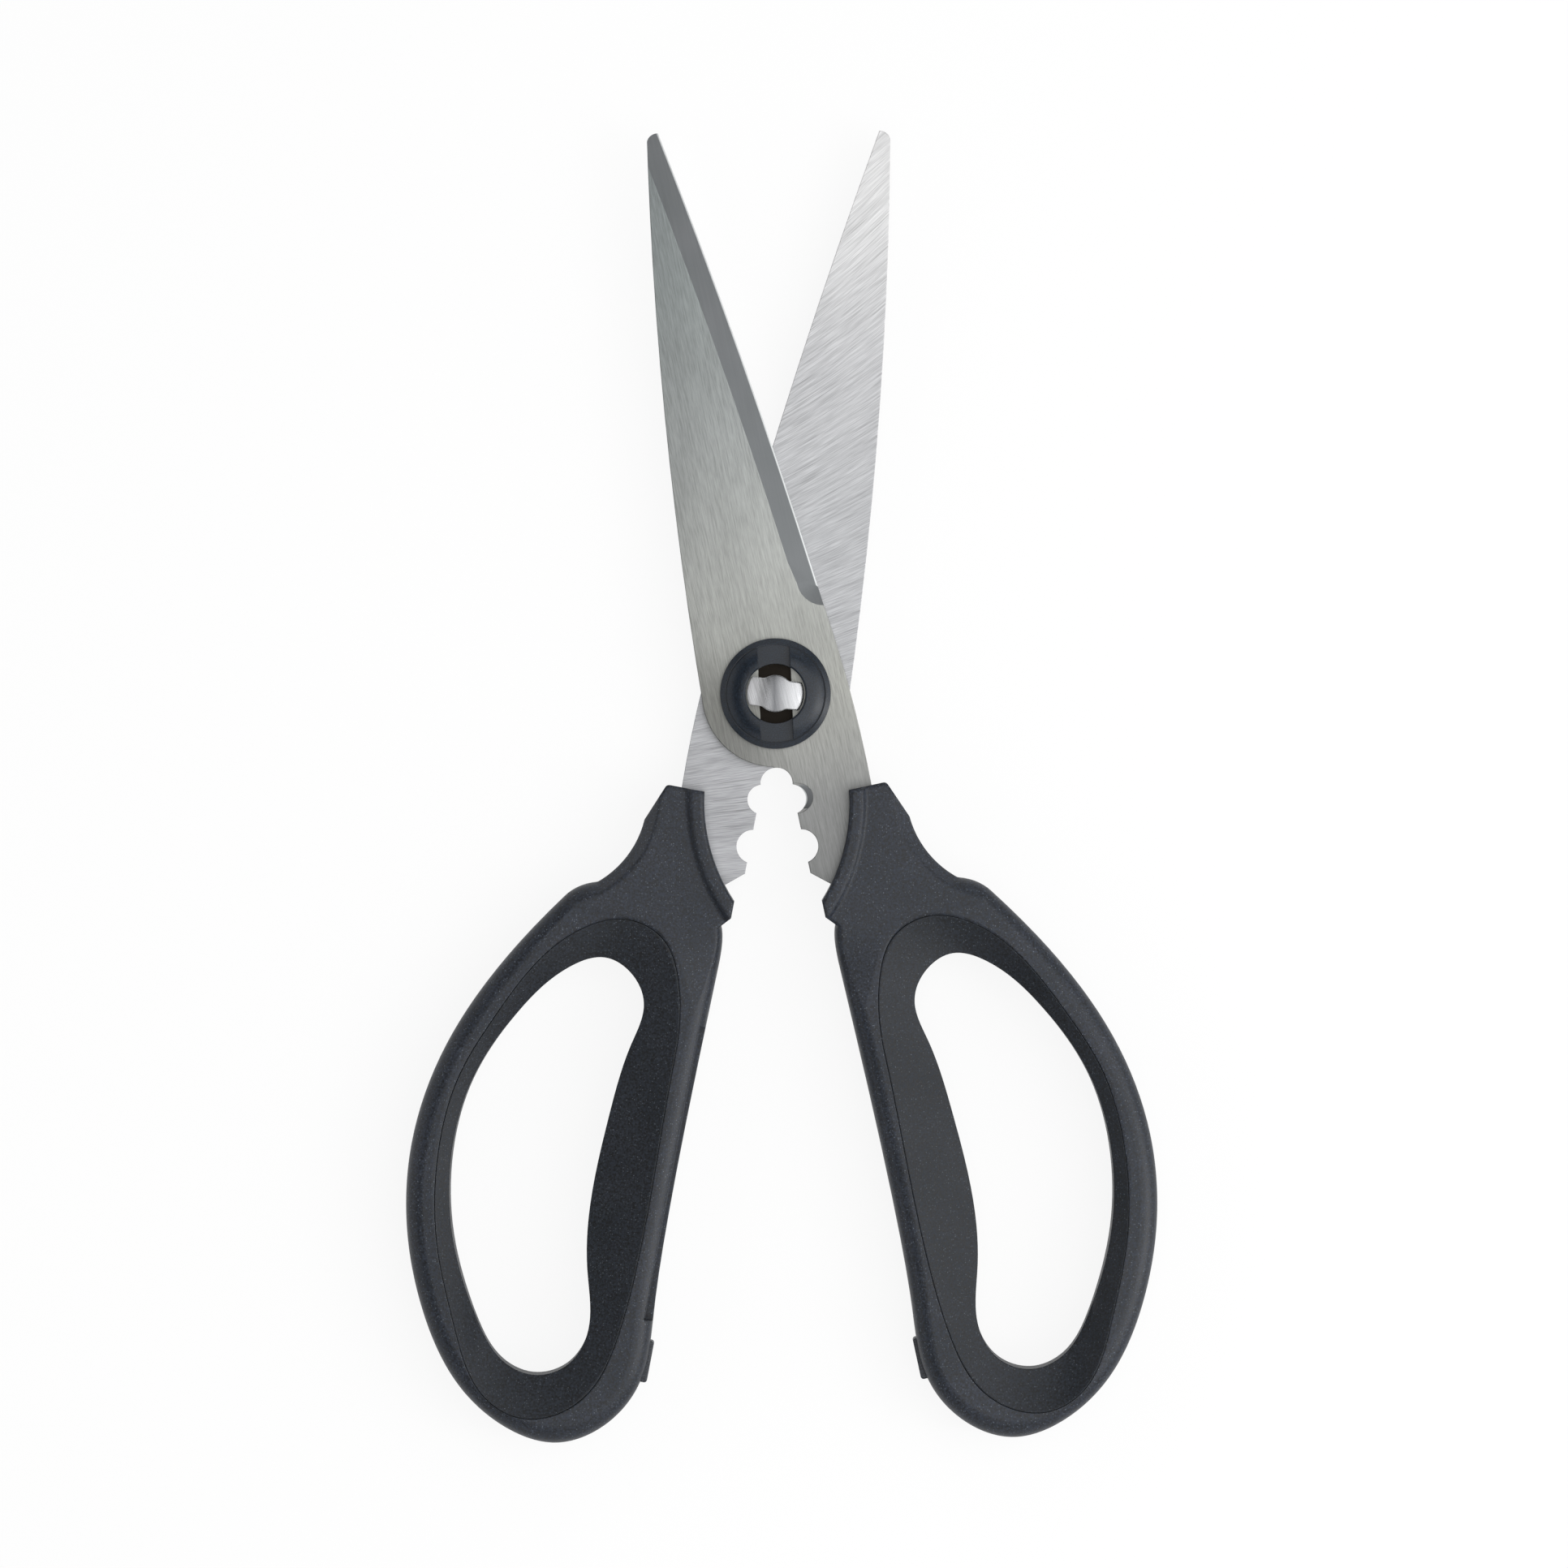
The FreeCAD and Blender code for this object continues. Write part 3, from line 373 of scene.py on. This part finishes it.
def stud_steel():
    """Brushed across the wings, with painted highlights on the wings and painted shade in the middle."""
    shader = Shader("stud_steel")
    fine = shader.noise(shader.grid(HEAD_FINE, HEAD_LEAN), detail=3)
    coarse = shader.noise(shader.grid(HEAD_COARSE, HEAD_LEAN), detail=2)
    grain = shader.lay(fine, coarse, share=0.55)
    local = shader.axes(shader.grid(HEAD_HALF))
    # painted highlights and shade across the head, brightest on the left wing, darkest in the middle
    tone = shader.ramp(shader.span(local["X"], -1.0, 1.0), HEAD_SHEEN_TONES)
    streak = shader.vary(grain, low=0.80, high=1.16, spread=0.15)
    shader.set("Base Color", shader.shade(tone, streak))
    # a hardly metallic left wing, so that its painted highlight shows from every side
    shader.set("Metallic", shader.span(local["X"], *METAL_SHARES, low=PALE_METALLIC, smooth=True))
    shader.set("Roughness", shader.vary(grain, low=0.20, high=0.32))
    shader.set("Normal", shader.bump(grain, HEAD_DEPTH, shader.soft_edges(HEAD_EDGE), strength=0.5))
    return shader.material


# Mouldings

# The slow drift in tone, and how much smoother and rougher the skin gets than its mean
DRIFT_CELL = 9 * MM
SMOOTHER = 0.06
ROUGHER = 0.08

# Pale flecks: how many to a millimetre, where one fades out in cells from its centre, the random value from
# which one shows faintly and in full, how many times brighter than the pale tone it is, and its tint
FLECKS_PER_MM = 3.0
FLECK_RIM = (0.14, 0.32)
FLECK_CHANCE = (0.45, 0.80)
FLECK_GAIN = 6
FLECK_TINT = (0.88, 1.0, 1.14)

# Where a loop becomes its neck, in millimetres along y from the pivot
NECK_ENDS = (-46.0, -38.0)


def moulding(
    name, dark, pale, roughness, skin_cell, skin_depth, edge, neck_edge=None, gloss=0.5, flecks=0.8
):
    """A dark moulding: a fine matte skin, pale flecks, a slow drift in tone, and softer edges on a neck."""
    shader = Shader(name, Specular_IOR_Level=gloss)
    place = shader.grid(MM)
    skin = shader.noise(shader.grid(skin_cell), detail=3)
    drift = shader.noise(shader.grid(DRIFT_CELL), detail=2)
    cells = shader.add("ShaderNodeTexVoronoi", {"Vector": place, "Scale": FLECKS_PER_MM}).outputs
    fleck = shader.span(cells["Distance"], *FLECK_RIM, low=1.0, high=0.0)
    shown = shader.span(shader.axes(cells["Color"])["X"], *FLECK_CHANCE)
    fleck = shader.math("MULTIPLY", shader.math("MULTIPLY", fleck, shown), flecks)
    mean = sum(pale) / len(pale)
    fleck_tone = tuple(FLECK_GAIN * mean * part for part in FLECK_TINT)
    body = shader.mix(shader.vary(drift, low=0.0, high=1.0), dark, pale)
    grainy = shader.vary(skin, low=0.25, high=1.65, spread=0.14)
    shader.set("Base Color", shader.shade(shader.mix(fleck, body, fleck_tone), grainy))
    shader.set("Roughness", shader.vary(skin, low=roughness - SMOOTHER, high=roughness + ROUGHER))
    if neck_edge is None:
        normal = shader.soft_edges(edge)
    else:
        neck = shader.span(shader.axes(place)["Y"], *NECK_ENDS, smooth=True)
        normal = shader.soft_edges(shader.span(neck, 0.0, 1.0, edge, neck_edge))
        normal = shader.level_faces(normal, neck)
    shader.set("Normal", shader.bump(skin, skin_depth, normal, strength=0.6))
    return shader.material


# Finishes on the solids

OUTER, BEVEL, INNER = range(3)

# The upright part of a normal: flat faces have at least the first value, bevels at least the second
FLAT = 0.985
STEEP = 0.3


def paint(node, *materials, choose=lambda normal: 0):
    """Gives each face of a solid one of several finishes, chosen by the way the face looks."""
    mesh = NODES[node].data
    mesh.materials.clear()
    for material in materials:
        mesh.materials.append(material)
    for face in mesh.polygons:
        face.material_index = choose(face.normal)


def blade_side(up):
    """Which finish a face of a blade has, when its outer face looks up or down."""

    def choose(normal):
        lift = normal.z * up
        if lift < -FLAT:
            return INNER
        return BEVEL if STEEP < lift < FLAT else OUTER

    return choose


def dress_blades():
    for node, up, lean, side in (("front_blade", 1, OPEN_ANGLE, -1), ("rear_blade", -1, -OPEN_ANGLE, 1)):
        low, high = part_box(node)
        inner_height, outer_height = (low.z, high.z) if up > 0 else (high.z, low.z)
        edge_height = inner_height + up * EDGE_LAND
        choose = blade_side(up)
        bevel = [face for face in NODES[node].data.polygons if choose(face.normal) == BEVEL]
        facing = max(bevel, key=lambda face: face.area).normal
        paint(
            node,
            brushed_steel(node + "_steel", lean),
            honed_steel(node + "_bevel", lean, edge_height, outer_height, facing),
            ground_steel(node + "_inner", side),
            choose=choose,
        )


def dress_mouldings():
    charcoal = moulding(
        "handle_plastic",
        dark=(0.008, 0.012, 0.020),
        pale=(0.014, 0.018, 0.028),
        roughness=0.46,
        skin_cell=0.34 * MM,
        skin_depth=0.040 * MM,
        edge=0.3 * MM,
        neck_edge=1.1 * MM,
        gloss=0.47,
    )
    soft = moulding(
        "grip_rubber",
        dark=(0.005, 0.008, 0.013),
        pale=(0.010, 0.013, 0.019),
        roughness=0.52,
        skin_cell=0.36 * MM,
        skin_depth=0.050 * MM,
        edge=0.3 * MM,
        gloss=0.40,
    )
    bumper = moulding(
        "pad_rubber",
        dark=(0.024, 0.028, 0.036),
        pale=(0.034, 0.038, 0.047),
        roughness=0.50,
        skin_cell=0.25 * MM,
        skin_depth=0.015 * MM,
        edge=0.5 * MM,
        flecks=0.2,
    )
    satin = moulding(
        "collar_plastic",
        dark=(0.005, 0.010, 0.018),
        pale=(0.008, 0.014, 0.024),
        roughness=0.34,
        skin_cell=0.18 * MM,
        skin_depth=0.006 * MM,
        edge=0.12 * MM,
        gloss=0.42,
        flecks=0.2,
    )
    for side in ("right", "left"):
        paint(side + "_handle", charcoal)
        paint(side + "_grip", soft)
        paint(side + "_stop_pad", bumper)
    paint("pivot_collar", satin)


# Stage

FLOOR_REACH = 3.0
FLOOR_TONE = (0.84, 0.84, 0.84)
WHITE = (1.0, 1.0, 1.0)

# The floor's glow, seen by the camera and in reflections, and its share beside the light on the floor
GLOW = 1.02
GLOW_SHARE = 0.87

# The ring of low panels round the object, in metres, and the strength of the light from all round
COVES = 4
COVE_DISTANCE = 1.3
COVE_HEIGHT = 0.62
ROOM_LIGHT = 0.09


def floor():
    """A plain pale floor that shows white to the camera and keeps a soft shadow."""
    corners = [(x * FLOOR_REACH, y * FLOOR_REACH, 0) for x, y in ((-1, -1), (1, -1), (1, 1), (-1, 1))]
    mesh = bpy.data.meshes.new("floor")
    mesh.from_pydata(corners, [], [(0, 1, 2, 3)])
    item = bpy.data.objects.new("floor", mesh)
    bpy.context.collection.objects.link(item)
    shader = Shader("floor_paint", Base_Color=FLOOR_TONE, Roughness=0.9, Specular_IOR_Level=0.0)
    path = shader.add("ShaderNodeLightPath").outputs
    seen = shader.math("MAXIMUM", path["Is Camera Ray"], path["Is Glossy Ray"])
    seen = shader.math("MAXIMUM", seen, path["Is Transmission Ray"])
    glow = shader.add("ShaderNodeEmission", {"Color": WHITE, "Strength": GLOW})
    share = shader.math("MULTIPLY", seen, GLOW_SHARE)
    inputs = {0: share, 1: shader.surface.outputs[0], 2: glow.outputs[0]}
    blend = shader.add("ShaderNodeMixShader", inputs)
    output = shader.tree.nodes["Material Output"]
    shader.feed(output.inputs["Surface"], blend.outputs[0])
    mesh.materials.append(shader.material)


def lamp(name, place, aim, width, height, power):
    """A soft panel, in metres and watts, that the camera doesn't see."""
    light = bpy.data.lights.new(name, "AREA")
    light.shape = "RECTANGLE"
    light.size = width
    light.size_y = height
    light.energy = power
    item = bpy.data.objects.new(name, light)
    item.location = place
    item.rotation_euler = (Vector(aim) - Vector(place)).to_track_quat("-Z", "Y").to_euler()
    item.visible_camera = False
    bpy.context.collection.objects.link(item)


def lights():
    """A large soft box over the right side, a low strip on the right, dim panels all round, a dim room."""
    lamp("soft_box", place=(0.35, -0.08, 0.70), aim=(0.05, -0.02, 0), width=0.86, height=1.15, power=5.45)
    lamp("right_strip", place=(0.70, -0.20, 0.40), aim=(0, 0, 0), width=0.16, height=0.7, power=1.3)
    for number in range(COVES):
        bearing = number * 2 * math.pi / COVES
        place = (COVE_DISTANCE * math.cos(bearing), COVE_DISTANCE * math.sin(bearing), COVE_HEIGHT)
        lamp("cove_%d" % number, place, aim=(0, 0, 0.1), width=2.0, height=0.92, power=5.4)
    world = bpy.data.worlds.new("room")
    world.use_nodes = True
    background = world.node_tree.nodes["Background"]
    background.inputs["Color"].default_value = (*WHITE, 1.0)
    background.inputs["Strength"].default_value = ROOM_LIGHT
    bpy.context.scene.world = world


def camera():
    """Over the object, with the photograph's scale, framing and roll."""
    right = (IMAGE_SIDE / 2 - PIVOT_PIXEL[0]) * PIXEL
    up = (PIVOT_PIXEL[1] - IMAGE_SIDE / 2) * PIXEL
    x = PIVOT.x + right * math.cos(ROLL) + up * math.sin(ROLL)
    y = PIVOT.y - right * math.sin(ROLL) + up * math.cos(ROLL)
    view = bpy.data.cameras.new("camera")
    view.sensor_width = SENSOR
    view.lens = SENSOR * CAMERA_HEIGHT / (IMAGE_SIDE * PIXEL)
    item = bpy.data.objects.new("camera", view)
    item.location = (x, y, PIVOT.z + CAMERA_HEIGHT)
    item.rotation_euler = (0, 0, -ROLL)
    bpy.context.collection.objects.link(item)
    bpy.context.scene.camera = item


dress_blades()
dress_mouldings()
paint("pivot_stud", stud_steel())
floor()
lights()
camera()
bpy.context.scene.view_settings.view_transform = "Standard"
